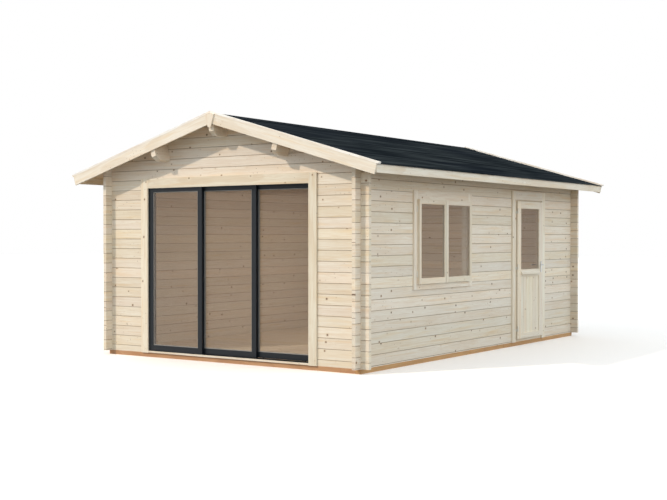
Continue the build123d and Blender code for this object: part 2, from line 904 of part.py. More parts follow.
with BuildPart() as door_hinge_knuckles:
    for z in hinge_heights:
        with Locations((hinge_x, hinge_y, z + knuckle_shift)):
            Cylinder(hinge_barrel_radius, hinge_barrel_length)
        with Locations(
            (
                leaf_front + hinge_leaf_thickness / 2,
                hinge_y + hinge_leaf_reach / 2,
                z + knuckle_shift,
            )
        ):
            Box(hinge_leaf_thickness, hinge_leaf_reach, hinge_barrel_length)
        with Locations((hinge_x, hinge_y, z)):
            Cylinder(hinge_pin_radius + hinge_pin_gap, 2 * hinge_barrel_length, mode=Mode.SUBTRACT)
door_hinge_knuckles.part.label = "door_hinge_knuckles"
export_step(door_hinge_knuckles.part, "parts/door_hinge_knuckles.step")

# Handle plates on both faces of the leaf, bored for the spindle
with BuildPart() as door_handle_plates:
    for x in (leaf_front, leaf_back - lever_plate_thickness):
        with BuildSketch(side_plane(x)):
            with Locations((lever_y, lever_height - lever_plate_drop)):
                RectangleRounded(lever_plate_width, lever_plate_height, lever_plate_width / 3)
            with Locations((lever_y, lever_height)):
                Circle(spindle_radius + spindle_gap, mode=Mode.SUBTRACT)
        extrude(amount=lever_plate_thickness)
door_handle_plates.part.label = "door_handle_plates"
export_step(door_handle_plates.part, "parts/door_handle_plates.step")

# Lever: two arms on one spindle through the leaf
lever_out = leaf_front + lever_plate_thickness
lever_in = leaf_back - lever_plate_thickness
with BuildPart() as door_lever:
    with BuildSketch(side_plane(lever_in - lever_neck)):
        with Locations((lever_y, lever_height)):
            Circle(spindle_radius)
    extrude(amount=lever_out - lever_in + 2 * lever_neck)
    for x in (lever_out + lever_neck, lever_in - lever_neck):
        with BuildSketch(Plane.XZ.offset(-lever_y - lever_radius)):
            with Locations((x, lever_height)):
                Circle(lever_radius)
        extrude(amount=lever_length)
    for x_from in (lever_out + side_gap, lever_in - lever_neck):
        with BuildSketch(side_plane(x_from)):
            with Locations((lever_y, lever_height)):
                Circle(lever_neck_radius)
        extrude(amount=lever_neck - side_gap)
door_lever.part.label = "door_lever"
export_step(door_lever.part, "parts/door_lever.step")
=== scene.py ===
import math

import bmesh
import bpy
from mathutils import Matrix, Vector


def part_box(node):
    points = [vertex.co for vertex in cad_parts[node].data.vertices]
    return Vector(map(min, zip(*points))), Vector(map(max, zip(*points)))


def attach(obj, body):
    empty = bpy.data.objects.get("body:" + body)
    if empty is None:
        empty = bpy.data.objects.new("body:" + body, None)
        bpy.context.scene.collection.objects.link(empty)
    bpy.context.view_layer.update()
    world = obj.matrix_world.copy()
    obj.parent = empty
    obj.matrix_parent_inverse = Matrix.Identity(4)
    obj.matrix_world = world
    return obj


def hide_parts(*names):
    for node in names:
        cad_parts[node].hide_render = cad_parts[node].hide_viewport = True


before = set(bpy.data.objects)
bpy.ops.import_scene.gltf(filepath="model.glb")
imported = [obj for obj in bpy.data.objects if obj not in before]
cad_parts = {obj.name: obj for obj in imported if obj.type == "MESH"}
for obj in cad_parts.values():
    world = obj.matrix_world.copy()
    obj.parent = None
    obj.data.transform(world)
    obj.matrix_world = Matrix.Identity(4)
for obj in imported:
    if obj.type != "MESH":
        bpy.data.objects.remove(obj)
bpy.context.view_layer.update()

# Foundation: impregnated pine beams laid flat under the walls, with joists between them. They are
# sawn, not planed, and the salts in them turn the wood orange-brown.
beam_pale = (0.560, 0.310, 0.140, 1)
beam_late = (0.390, 0.190, 0.074, 1)
beam_wood = {"ring": 0.006, "knot": 0.016, "knot_every": 0.45}
beams_per_metre = 1.8
knot_black = (0.070, 0.033, 0.014, 1)
knot_brown = (0.235, 0.115, 0.045, 1)
pin_brown = (0.190, 0.085, 0.034, 1)
pin_every = 0.052
bare_share = 0.25
drifts_apart = 3.7
knots_apart = 23.0
knot_stretch = 0.85
pith_spread = 0.11
pith_drift = 0.05
pith_behind = 0.035
pith_depth = 0.05
pith_sway = 0.020
late_start = 0.35
late_full = 0.95


def new_finish(name):
    """Empty finish: the material, its node tree and its shader."""
    finish = bpy.data.materials.new(name)
    finish.use_nodes = True
    return finish, finish.node_tree, finish.node_tree.nodes["Principled BSDF"]


def feed(tree, socket, value):
    """Sets a socket to a number or colour, or links another socket to it."""
    if isinstance(value, bpy.types.NodeSocket):
        tree.links.new(value, socket)
    else:
        socket.default_value = value


def reckon(tree, operation, *values):
    """One sum in a finish, on numbers or sockets."""
    step = tree.nodes.new("ShaderNodeMath")
    step.operation = operation
    for socket, value in zip(step.inputs, values):
        feed(tree, socket, value)
    return step.outputs[0]


def place_on(tree):
    """The place of a point on the piece, in metres."""
    return tree.nodes.new("ShaderNodeTexCoord").outputs["Object"]


def place_xyz(tree):
    """The place of a point on the piece as three coordinates."""
    split = tree.nodes.new("ShaderNodeSeparateXYZ")
    tree.links.new(place_on(tree), split.inputs[0])
    return split.outputs["X"], split.outputs["Y"], split.outputs["Z"]


def join_xyz(tree, x, y, z):
    """A place put together from three numbers or sockets."""
    join = tree.nodes.new("ShaderNodeCombineXYZ")
    for socket, value in zip(join.inputs, (x, y, z)):
        feed(tree, socket, value)
    return join.outputs[0]


def fade(tree, value, start, end):
    """0 at the start value, 1 at the end value, smooth between them."""
    ease = tree.nodes.new("ShaderNodeMapRange")
    ease.interpolation_type = "SMOOTHSTEP"
    tree.links.new(value, ease.inputs["Value"])
    ease.inputs["From Min"].default_value = start
    ease.inputs["From Max"].default_value = end
    return ease.outputs["Result"]


def blend_colour(tree, share, first, second):
    """Mixes two colours, each a colour or a socket, by a share."""
    mix = tree.nodes.new("ShaderNodeMix")
    mix.data_type = "RGBA"
    feed(tree, mix.inputs["Factor"], share)
    for socket, value in zip(mix.inputs[6:8], (first, second)):
        feed(tree, socket, value)
    return mix.outputs[2]


def tint(tree, colour, other, value, start, end, share):
    """Lays another colour over the first where a value fades in, up to a share."""
    over = reckon(tree, "MULTIPLY", fade(tree, value, start, end), share)
    return blend_colour(tree, over, colour, other)


def split_colour(tree, colour):
    """The three channels of a colour, which serve as three chances."""
    split = tree.nodes.new("ShaderNodeSeparateColor")
    tree.links.new(colour, split.inputs[0])
    return split.outputs


def cloudy(tree, place, scale, detail, output=0):
    """Soft noise: a value from 0 to 1 (output 0) or a colour (output 1)."""
    cloud = tree.nodes.new("ShaderNodeTexNoise")
    cloud.inputs["Scale"].default_value = scale
    cloud.inputs["Detail"].default_value = detail
    tree.links.new(place, cloud.inputs["Vector"])
    return cloud.outputs[output]


def scatter(tree, along, across, every):
    """Spots strewn over a board: how far off the nearest one is, and its three chances."""
    spots = tree.nodes.new("ShaderNodeTexVoronoi")
    spots.voronoi_dimensions = "2D"
    spots.inputs["Scale"].default_value = 1 / every
    tree.links.new(join_xyz(tree, along, across, 0.0), spots.inputs["Vector"])
    away = reckon(tree, "MULTIPLY", spots.outputs["Distance"], every)
    return away, split_colour(tree, spots.outputs["Color"])


def sway(tree, value, chance, reach):
    """Moves a value by chance, up to half the reach to either side."""
    return reckon(tree, "MULTIPLY_ADD", chance, reach, reckon(tree, "SUBTRACT", value, reach / 2))


def relief(tree, shader, height, strength, distance):
    """Fine relief in the surface."""
    bump = tree.nodes.new("ShaderNodeBump")
    bump.inputs["Strength"].default_value = strength
    bump.inputs["Distance"].default_value = distance
    tree.links.new(height, bump.inputs["Height"])
    tree.links.new(bump.outputs[0], shader.inputs["Normal"])


def solid_wood(
    tree, shader, along, across, depth, board, pale, late, ring=0.0042, knot=0.0095, knot_every=0.20
):
    """Wood through and through: year rings round a pith, streaks, grain, bands of resin, knots and
    pin knots. The board's number draws its tone and its place in the tree. Sizes are in metres."""
    chance = tree.nodes.new("ShaderNodeTexWhiteNoise")
    chance.noise_dimensions = "1D"
    tree.links.new(board, chance.inputs["W"])
    chances = split_colour(tree, chance.outputs["Color"])
    drift_place = join_xyz(tree, along, reckon(tree, "MULTIPLY", board, drifts_apart), 0.0)
    drifts = split_colour(tree, cloudy(tree, drift_place, scale=0.55, detail=1.0, output=1))

    knot_along = reckon(tree, "MULTIPLY", along, knot_stretch)
    knot_across = reckon(tree, "MULTIPLY_ADD", chances[0], knots_apart, across)
    knot_away, knot_chances = scatter(tree, knot_along, knot_across, knot_every)
    knot_size = reckon(tree, "MULTIPLY", fade(tree, knot_chances[0], bare_share, 1.0), knot)
    knot_edge = reckon(tree, "SUBTRACT", knot_away, knot_size)

    pith_up = sway(tree, across, chances[0], pith_spread)
    pith_up = sway(tree, pith_up, drifts[0], pith_drift)
    pith_in = reckon(tree, "ADD", depth, pith_behind)
    pith_in = reckon(tree, "MULTIPLY_ADD", chances[1], pith_depth, pith_in)
    pith_in = sway(tree, pith_in, drifts[1], pith_sway)
    squares = reckon(tree, "MULTIPLY_ADD", pith_in, pith_in, reckon(tree, "MULTIPLY", pith_up, pith_up))
    radius = reckon(tree, "SQRT", squares)
    swirl = reckon(tree, "MULTIPLY", fade(tree, knot_away, 3.5 * knot, knot), 1.6 * knot)
    rings = reckon(tree, "DIVIDE", reckon(tree, "ADD", radius, swirl), ring)
    ring_share = reckon(tree, "FRACT", rings)
    ring_darkens = fade(tree, ring_share, late_start, late_full)
    ring_ends = fade(tree, ring_share, 1.0, late_full)
    late_share = reckon(tree, "MULTIPLY", ring_darkens, ring_ends)

    drawn_out = join_xyz(tree, reckon(tree, "MULTIPLY", along, 0.055), across, depth)
    shifted = tree.nodes.new("ShaderNodeVectorMath")
    shifted.operation = "ADD"
    tree.links.new(drawn_out, shifted.inputs[0])
    tree.links.new(chance.outputs["Color"], shifted.inputs[1])
    streaks = cloudy(tree, shifted.outputs[0], scale=34.0, detail=3.0)
    fibres = cloudy(tree, shifted.outputs[0], scale=420.0, detail=2.0)
    grain = cloudy(tree, shifted.outputs[0], scale=125.0, detail=2.0)
    broad_place = join_xyz(tree, reckon(tree, "MULTIPLY", along, 0.35), across, board)
    broad = cloudy(tree, broad_place, scale=3.2, detail=2.0)
    band_across = reckon(tree, "MULTIPLY", across, 11.0)
    band_place = join_xyz(tree, reckon(tree, "MULTIPLY", along, 0.7), band_across, board)
    resin = cloudy(tree, band_place, scale=2.1, detail=2.0)

    # late wood first, then each kind of mark from where its noise starts to show to where it is full
    golden = (late[0] * 1.10, late[1] * 1.02, late[2] * 0.82, 1)
    colour = blend_colour(tree, reckon(tree, "MULTIPLY", late_share, 0.42), pale, late)
    for marks, start, end, share, shade in (
        (streaks, 0.42, 0.78, 0.55, late),
        (broad, 0.35, 0.75, 0.22, late),
        (grain, 0.46, 0.66, 0.34, late),
        (resin, 0.50, 0.74, 0.44, golden),
    ):
        colour = tint(tree, colour, shade, marks, start, end, share)
    tone = tree.nodes.new("ShaderNodeHueSaturation")
    tree.links.new(colour, tone.inputs["Color"])
    for measure, draw, reach, least in (
        ("Value", chances[2], 0.12, 0.93),
        ("Saturation", chances[1], 0.24, 0.88),
        ("Hue", chances[0], 0.012, 0.494),
    ):
        tree.links.new(reckon(tree, "MULTIPLY_ADD", draw, reach, least), tone.inputs[measure])

    halo_here = fade(tree, knot_chances[0], bare_share, 0.5)
    halo = reckon(tree, "MULTIPLY", fade(tree, knot_edge, 1.5 * knot, 0.0), halo_here)
    halo_brown = (late[0] * 0.72, late[1] * 0.62, late[2] * 0.5, 1)
    colour = blend_colour(tree, reckon(tree, "MULTIPLY", halo, 0.42), tone.outputs[0], halo_brown)
    core_here = fade(tree, knot_chances[0], bare_share, 0.42)
    core = reckon(tree, "MULTIPLY", fade(tree, knot_edge, 0.0018, -0.0012), core_here)
    core_brown = blend_colour(tree, knot_chances[1], knot_black, knot_brown)
    colour = blend_colour(tree, reckon(tree, "MULTIPLY", core, 0.92), colour, core_brown)

    pin_along = reckon(tree, "MULTIPLY", along, 0.9)
    pin_away, pin_chances = scatter(tree, pin_along, knot_across, pin_every)
    crowd = cloudy(tree, join_xyz(tree, along, knot_across, 4.0), scale=1.7, detail=1.0)
    pin_crowd = fade(tree, crowd, 0.50, 0.56)
    pin_here = reckon(tree, "MULTIPLY", fade(tree, pin_chances[0], 0.62, 0.66), pin_crowd)
    pin_size = reckon(tree, "MULTIPLY_ADD", pin_chances[1], 0.0022, 0.0016)
    pin_edge = reckon(tree, "SUBTRACT", pin_away, pin_size)
    pins = reckon(tree, "MULTIPLY", fade(tree, pin_edge, 0.0012, -0.0006), pin_here)
    colour = blend_colour(tree, reckon(tree, "MULTIPLY", pins, 0.8), colour, pin_brown)
    tree.links.new(colour, shader.inputs["Base Color"])

    height = reckon(tree, "MULTIPLY_ADD", late_share, 0.6, reckon(tree, "MULTIPLY", fibres, 0.7))
    relief(tree, shader, height, strength=0.35, distance=0.0006)
    tree.links.new(reckon(tree, "MULTIPLY_ADD", fibres, 0.18, 0.52), shader.inputs["Roughness"])
    return colour


def dress(finish, *names):
    """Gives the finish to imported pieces."""
    for name in names:
        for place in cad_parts[name].material_slots:
            place.material = finish


finish, tree, shader = new_finish("impregnated_beam_long")
x, y, z = place_xyz(tree)
beam = reckon(tree, "ROUND", reckon(tree, "MULTIPLY", x, beams_per_metre))
solid_wood(tree, shader, y, x, z, beam, beam_pale, beam_late, **beam_wood)
dress(finish, "side_beams", "floor_joists")

finish, tree, shader = new_finish("impregnated_beam_cross")
x, y, z = place_xyz(tree)
solid_wood(tree, shader, x, y, z, reckon(tree, "SIGN", y), beam_pale, beam_late, **beam_wood)
dress(finish, "end_beams")


# Floor: planed spruce boards, tongued and grooved, laid across the joists and nailed. Their edges
# are eased, so a fine groove shows between each pair.
floor_pale = (0.790, 0.680, 0.510, 1)
floor_late = (0.640, 0.480, 0.315, 1)
floor_pitch = 0.098
floor_ease = 0.0015
board_gap = 0.0006
frame_gap = 0.010
least_row = 0.02
floor_low, floor_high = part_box("floor_boards")
doorway_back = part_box("sliding_frame")[1].y + frame_gap
doorway_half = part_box("sliding_frame")[1].x + frame_gap
side_low, side_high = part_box("door_frame")


def keep(name, mesh, finish, body):
    """Makes the finished mesh a piece of the house that moves with one body."""
    bmesh.ops.recalc_face_normals(mesh, faces=mesh.faces)
    data = bpy.data.meshes.new(name)
    mesh.to_mesh(data)
    mesh.free()
    piece = bpy.data.objects.new(name, data)
    bpy.context.scene.collection.objects.link(piece)
    data.materials.append(finish)
    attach(piece, body)
    return piece


def edges_at(verts):
    """The edges that meet at some vertices, each of them once."""
    return list(dict.fromkeys(edge for vert in verts for edge in vert.link_edges))


def ease_edges(mesh, edges, width, steps=1):
    """Breaks sharp edges with a small flat, or rounds them in a few steps."""
    return bmesh.ops.bevel(
        mesh,
        geom=edges,
        offset=width,
        offset_type="OFFSET",
        affect="EDGES",
        segments=steps,
        profile=0.5,
        material=-1,
    )


def add_block(mesh, low, high, ease=0.0):
    """Adds a block between two corners, with its edges eased."""
    made = bmesh.ops.create_cube(mesh, size=1.0)["verts"]
    bmesh.ops.scale(mesh, vec=Vector(high) - Vector(low), verts=made)
    bmesh.ops.translate(mesh, vec=(Vector(high) + Vector(low)) / 2, verts=made)
    if ease:
        ease_edges(mesh, edges_at(made), ease)


def in_rows(tree, value, start, pitch):
    """Which row of boards a point is in, and its share of the way through that row."""
    rows = reckon(tree, "DIVIDE", reckon(tree, "SUBTRACT", value, start), pitch)
    return reckon(tree, "FLOOR", rows), reckon(tree, "FRACT", rows)


planks = bmesh.new()
row = floor_low.y
while row < floor_high.y - least_row:
    if row == floor_low.y:
        row_end = doorway_back
        spans = ((floor_low.x, -doorway_half), (doorway_half, floor_high.x))
    else:
        row_end = min(row + floor_pitch, floor_high.y)
        beside_door = row_end > side_low.y - frame_gap and row < side_high.y + frame_gap
        spans = ((floor_low.x, side_low.x - frame_gap if beside_door else floor_high.x),)
    for start, end in spans:
        plank_low = (start, row, floor_low.z)
        plank_high = (end, row_end - board_gap, floor_high.z)
        add_block(planks, plank_low, plank_high, floor_ease)
    row = row_end

finish, tree, shader = new_finish("planed_floor")
x, y, z = place_xyz(tree)
plank, through = in_rows(tree, y, doorway_back, floor_pitch)
across = reckon(tree, "MULTIPLY", through, floor_pitch)
solid_wood(tree, shader, x, across, z, plank, floor_pale, floor_late, knot_every=0.3)
floor_planks = keep("floor_planks", planks, finish, "house")
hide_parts("floor_boards")


# Log walls: machined spruce logs, 44 mm thick, with a double tongue and a bevelled edge at every
# course. They lock into one another at the corners, where their ends stand past the walls.
spruce_pale = (0.845, 0.765, 0.640, 1)
spruce_late = (0.700, 0.555, 0.390, 1)
# painted shade: the brown laid along the groove between two courses stands in for the shade in it
seam_shade_brown = (0.250, 0.155, 0.080, 1)
log_course = 0.115
gable_seam = 0.119
long_seam = gable_seam - log_course / 2
seam_shade_fade = 0.0036
seam_shade_width = 0.0012
seam_shade_share = 0.92
walls_apart = 41.0


def stacked_logs(name, runs_along_x, seam, wall_middle):
    """Finish of a log wall: each course is a log of its own, and painted shade darkens the groove
    between two.
    """
    finish, tree, shader = new_finish(name)
    x, y, z = place_xyz(tree)
    course, up = in_rows(tree, z, seam, log_course)
    off_middle = reckon(tree, "SUBTRACT", up, 0.5)
    across = reckon(tree, "MULTIPLY", off_middle, log_course)
    along, inward = (x, y) if runs_along_x else (y, x)
    depth = reckon(tree, "SUBTRACT", reckon(tree, "ABSOLUTE", inward), wall_middle)
    log = reckon(tree, "MULTIPLY_ADD", reckon(tree, "SIGN", inward), walls_apart, course)
    colour = solid_wood(tree, shader, along, across, depth, log, spruce_pale, spruce_late)
    off_seam = reckon(tree, "SUBTRACT", 0.5, reckon(tree, "ABSOLUTE", off_middle))
    to_seam = reckon(tree, "MULTIPLY", off_seam, log_course)
    # painted shade darkens the colour near each groove between logs
    colour = tint(tree, colour, seam_shade_brown, to_seam, seam_shade_fade, seam_shade_width, seam_shade_share)
    tree.links.new(colour, shader.inputs["Base Color"])
    return finish


low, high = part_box("rear_wall")
gable_logs = stacked_logs("gable_wall_logs", True, gable_seam, (low.y + high.y) / 2)
dress(gable_logs, "front_gable", "front_wall_left", "front_wall_right", "rear_wall")
low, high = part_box("left_wall")
long_logs = stacked_logs("long_wall_logs", False, long_seam, -(low.x + high.x) / 2)
dress(
    long_logs,
    "left_wall",
    "right_wall_corner",
    "right_wall_lower",
    "right_wall_middle",
    "right_wall_rear",
    "right_wall_top",
)


# Purlins: planed glued beams that carry the roof from gable to gable, with their ends cut to a
# blunt nose.
purlin_pale = (0.820, 0.725, 0.580, 1)
purlins_per_metre = 1.1
finish, tree, shader = new_finish("planed_purlin")
x, y, z = place_xyz(tree)
purlin = reckon(tree, "ROUND", reckon(tree, "MULTIPLY", x, purlins_per_metre))
solid_wood(tree, shader, y, z, x, purlin, purlin_pale, spruce_late, knot_every=0.4)
dress(finish, "ridge_purlin", "side_purlins")


# Roof boards: tongued and grooved spruce, nailed across the purlins from ridge to eave. Their
# undersides are the ceiling and the soffit, with a bevelled groove at each joint.
lining_pale = (0.690, 0.540, 0.365, 1)
lining_late = (0.520, 0.350, 0.195, 1)
roof_pitch = math.radians(16.3)
roof_slope = math.tan(roof_pitch)
lining_drop = 0.019 / math.cos(roof_pitch)
lining_pitch = 0.096
lining_ease = 0.003
same_place = 1e-6


def verts_in(items):
    """The vertices among the items that an operator gives back."""
    return [item for item in items if isinstance(item, bmesh.types.BMVert)]


for word, side, first_number in (("left", -1, 100.0), ("right", 1, 300.0)):
    low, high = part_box(f"roof_boards_{word}")
    eave = high.x if side > 0 else -low.x
    underside = high.z - lining_drop
    boards = bmesh.new()
    add_block(boards, (0.0, low.y, underside), (eave, low.y + lining_pitch - board_gap, high.z))
    lower = [
        edge
        for edge in boards.edges
        if abs(edge.verts[0].co.y - edge.verts[1].co.y) < same_place
        and max(edge.verts[0].co.z, edge.verts[1].co.z) < underside + same_place
    ]
    ease_edges(boards, lower, lining_ease)
    first = list(boards.faces)
    for k in range(1, math.ceil((high.y - low.y) / lining_pitch)):
        copy = bmesh.ops.duplicate(boards, geom=first)["geom"]
        bmesh.ops.translate(boards, vec=(0, k * lining_pitch, 0), verts=verts_in(copy))
    bmesh.ops.bisect_plane(
        boards,
        geom=boards.verts[:] + boards.edges[:] + boards.faces[:],
        plane_co=(0, high.y, 0),
        plane_no=(0, 1, 0),
        clear_outer=True,
    )
    bmesh.ops.holes_fill(boards, edges=[edge for edge in boards.edges if edge.is_boundary])
    lean = Matrix(((side, 0, 0, 0), (0, 1, 0, 0), (-roof_slope, 0, 1, 0), (0, 0, 0, 1)))
    bmesh.ops.transform(boards, matrix=lean, verts=boards.verts)
    finish, tree, shader = new_finish(f"soffit_boards_{word}")
    x, y, z = place_xyz(tree)
    lining_row, through = in_rows(tree, y, low.y, lining_pitch)
    board = reckon(tree, "ADD", lining_row, first_number)
    across = reckon(tree, "MULTIPLY", through, lining_pitch)
    solid_wood(tree, shader, x, across, z, board, lining_pale, lining_late, knot=0.010)
    lining = keep(f"roof_lining_{word}", boards, finish, "house")
    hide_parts(f"roof_boards_{word}")


# Roofing felt: bitumen felt with dark mineral granules, rolled out along the roof, and a strip of it
# folded over the ridge. Rain and laps leave faint streaks along its length.
felt_black = (0.0070, 0.0098, 0.0125, 1)
felt_grey = (0.0340, 0.0405, 0.0435, 1)
felt_blue = (0.0080, 0.0105, 0.0170, 1)
granule_grey = (0.0320, 0.0370, 0.0390, 1)
finish, tree, shader = new_finish("mineral_felt")
shader.inputs["Roughness"].default_value = 1.0
shader.inputs["Specular IOR Level"].default_value = 0.0
x, y, z = place_xyz(tree)
streak_y = reckon(tree, "MULTIPLY", y, 0.55)
streak_place = join_xyz(tree, reckon(tree, "MULTIPLY", x, 9.0), streak_y, z)
streaks = cloudy(tree, streak_place, scale=1.6, detail=4.0)
patch_place = join_xyz(tree, x, reckon(tree, "MULTIPLY", y, 0.4), z)
patches = cloudy(tree, patch_place, scale=1.3, detail=2.0)
granules = cloudy(tree, place_on(tree), scale=900.0, detail=1.0)
felt = blend_colour(tree, fade(tree, streaks, 0.35, 0.72), felt_black, felt_grey)
felt = tint(tree, felt, felt_blue, patches, 0.45, 0.8, share=0.6)
felt = tint(tree, felt, granule_grey, granules, 0.5, 0.75, share=0.35)
tree.links.new(felt, shader.inputs["Base Color"])
relief(tree, shader, granules, strength=0.5, distance=0.0008)
dress(finish, "roof_felt_left", "roof_felt_right", "ridge_cap")


# Barge boards, cover laths, apex shields and fascias: planed spruce boards nailed to the purlin ends
# and the roof's edge. The grain of the barge boards and laths follows the slope.
barge_pale = (0.850, 0.770, 0.650, 1)
# painted highlight: the cover laths are coloured near white, paler than the barge boards, for the sun
# on their tops
lath_highlight_pale = (0.960, 0.940, 0.890, 1)
shield_pale = (0.850, 0.770, 0.630, 1)
fascia_pale = (0.850, 0.775, 0.640, 1)
slope_height = 2.60
fascia_height = 2.10


def sloping_boards(name, number, pale):
    """Finish of boards on both slopes of a gable, with a board of its own on each side."""
    finish, tree, shader = new_finish(name)
    x, y, z = place_xyz(tree)
    out = reckon(tree, "ABSOLUTE", x)
    down = reckon(tree, "MULTIPLY", z, -math.sin(roof_pitch))
    along = reckon(tree, "MULTIPLY_ADD", out, math.cos(roof_pitch), down)
    up = reckon(tree, "MULTIPLY", z, math.cos(roof_pitch))
    across = reckon(tree, "MULTIPLY_ADD", out, math.sin(roof_pitch), up)
    across = reckon(tree, "SUBTRACT", across, slope_height)
    # each of the four slopes, two in front and two behind, has a board number of its own
    corner = reckon(tree, "MULTIPLY_ADD", reckon(tree, "SIGN", y), 2.0, reckon(tree, "SIGN", x))
    board = reckon(tree, "ADD", corner, number)
    solid_wood(tree, shader, along, across, y, board, pale, spruce_late, knot=0.008, knot_every=0.3)
    return finish


barge_spruce = sloping_boards("barge_board_spruce", 11.0, barge_pale)
dress(barge_spruce, "barge_boards_front", "barge_boards_rear")
# the laths' near-white colour is a painted highlight
lath_spruce = sloping_boards("cover_lath_spruce", 23.0, lath_highlight_pale)
dress(lath_spruce, "cover_laths_front", "cover_laths_rear")

finish, tree, shader = new_finish("apex_shield_spruce")
x, y, z = place_xyz(tree)
board = reckon(tree, "SIGN", y)
solid_wood(tree, shader, z, x, y, board, shield_pale, spruce_late, knot_every=0.16)
dress(finish, "apex_shields")

finish, tree, shader = new_finish("eave_fascia_spruce")
x, y, z = place_xyz(tree)
board = reckon(tree, "MULTIPLY_ADD", reckon(tree, "SIGN", x), 3.0, 31.0)
across = reckon(tree, "SUBTRACT", z, fascia_height)
solid_wood(tree, shader, y, across, x, board, fascia_pale, spruce_late, knot_every=0.35)
dress(finish, "eave_fascias")


# Sliding door: three aluminium panels in an aluminium frame, powder coated in anthracite, each with
# a sealed pane. A pale gasket with a rounded lip is pressed in round the pane on both its faces.
coat_dark = (0.0092, 0.0128, 0.0170, 1)
coat_pale = (0.0135, 0.0180, 0.0230, 1)
coat_speck = (0.0350, 0.0430, 0.0510, 1)
finish, tree, shader = new_finish("anthracite_powder_coat")
specks = cloudy(tree, place_on(tree), scale=650.0, detail=1.0)
sheen = cloudy(tree, place_on(tree), scale=2.5, detail=2.0)
coat = blend_colour(tree, sheen, coat_dark, coat_pale)
coat = tint(tree, coat, coat_speck, specks, 0.55, 0.8, share=0.35)
tree.links.new(coat, shader.inputs["Base Color"])
shader.inputs["Specular IOR Level"].default_value = 0.25
tree.links.new(reckon(tree, "MULTIPLY_ADD", specks, 0.15, 0.34), shader.inputs["Roughness"])
relief(tree, shader, specks, strength=0.15, distance=0.0003)
dress(finish, "sliding_frame", "sliding_panel_left", "sliding_panel_middle", "sliding_panel_right")

glass_deep = (0.340, 0.275, 0.235, 1)
glass_pale = (0.420, 0.340, 0.285, 1)
finish, tree, shader = new_finish("sealed_glass")
wave = cloudy(tree, place_on(tree), scale=1.2, detail=1.0)
tree.links.new(blend_colour(tree, wave, glass_deep, glass_pale), shader.inputs["Base Color"])
tree.links.new(reckon(tree, "MULTIPLY_ADD", wave, 0.03, 0.01), shader.inputs["Roughness"])
shader.inputs["Alpha"].default_value = 0.19
shader.inputs["IOR"].default_value = 1.52
dress(finish, "sliding_glass_left", "sliding_glass_middle", "sliding_glass_right")
dress(finish, "window_glass", "door_glass")

gasket_dark = (0.250, 0.235, 0.215, 1)
gasket_pale = (0.340, 0.320, 0.290, 1)
gasket_back = 0.0162
gasket_off = 0.003
gasket_face = 0.009
gasket_thickness = 0.005
lip_round = 0.0015


def add_ring(mesh, to_world, width, height, face, thickness):
    """Adds a flat ring with rounded lips, drawn in its own plane and then set in place."""
    made = bmesh.ops.create_grid(mesh, x_segments=1, y_segments=1, size=0.5)["verts"]
    bmesh.ops.scale(mesh, vec=(width, height, 1), verts=made)
    sheet = made[0].link_faces[0]
    bmesh.ops.inset_individual(mesh, faces=[sheet], thickness=face, use_even_offset=True)
    around = dict.fromkeys(side for vert in made for side in vert.link_faces)
    rim = [side for side in around if side != sheet]
    bmesh.ops.delete(mesh, geom=[sheet], context="FACES")
    top = verts_in(bmesh.ops.extrude_face_region(mesh, geom=rim)["geom"])
    bmesh.ops.translate(mesh, vec=(0, 0, thickness), verts=top)
    ring = {vert for side in rim for vert in side.verts} | set(top)
    lips = [edge for edge in edges_at(top) if edge.verts[0] in top and edge.verts[1] in top]
    rounded = ease_edges(mesh, lips, lip_round, steps=2)["verts"]
    ring = {vert for vert in ring if vert.is_valid} | set(rounded)
    bmesh.ops.transform(mesh, matrix=to_world, verts=list(ring))


finish, tree, shader = new_finish("pale_gasket")
shader.inputs["Roughness"].default_value = 0.6
dust = cloudy(tree, place_on(tree), scale=60.0, detail=2.0)
tree.links.new(blend_colour(tree, dust, gasket_dark, gasket_pale), shader.inputs["Base Color"])
for word in ("left", "middle", "right"):
    low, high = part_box(f"sliding_glass_{word}")
    middle = (low + high) / 2
    width = high.x - low.x - gasket_back
    height = high.z - low.z - gasket_back
    seal = bmesh.new()
    for facing in (-1, 1):
        set_off = Matrix.Translation((middle.x, middle.y + facing * gasket_off, middle.z))
        upright = Matrix.Rotation(-facing * math.pi / 2, 4, "X")
        add_ring(seal, set_off @ upright, width, height, gasket_face, gasket_thickness)
    keep(f"panel_gasket_{word}", seal, finish, f"{word}_panel")


# Casings round the sliding door, the window and the side door, and the frames of the last two: planed
# spruce, the casings nailed over the joint between frame and logs. Boards beside an opening have
# upright grain, those over and under it level grain.
joinery_pale = (0.850, 0.775, 0.635, 1)
strips_per_metre = 7.0
strip_middle = 0.07


def turn_grain(tree, upright, level, z):
    """Along and across the grain, which runs up where upright is 1 and level where flat is 1."""
    flat = reckon(tree, "SUBTRACT", 1.0, upright)
    along = reckon(tree, "MULTIPLY_ADD", z, upright, reckon(tree, "MULTIPLY", level, flat))
    across = reckon(tree, "MULTIPLY_ADD", level, upright, reckon(tree, "MULTIPLY", z, flat))
    return flat, along, across


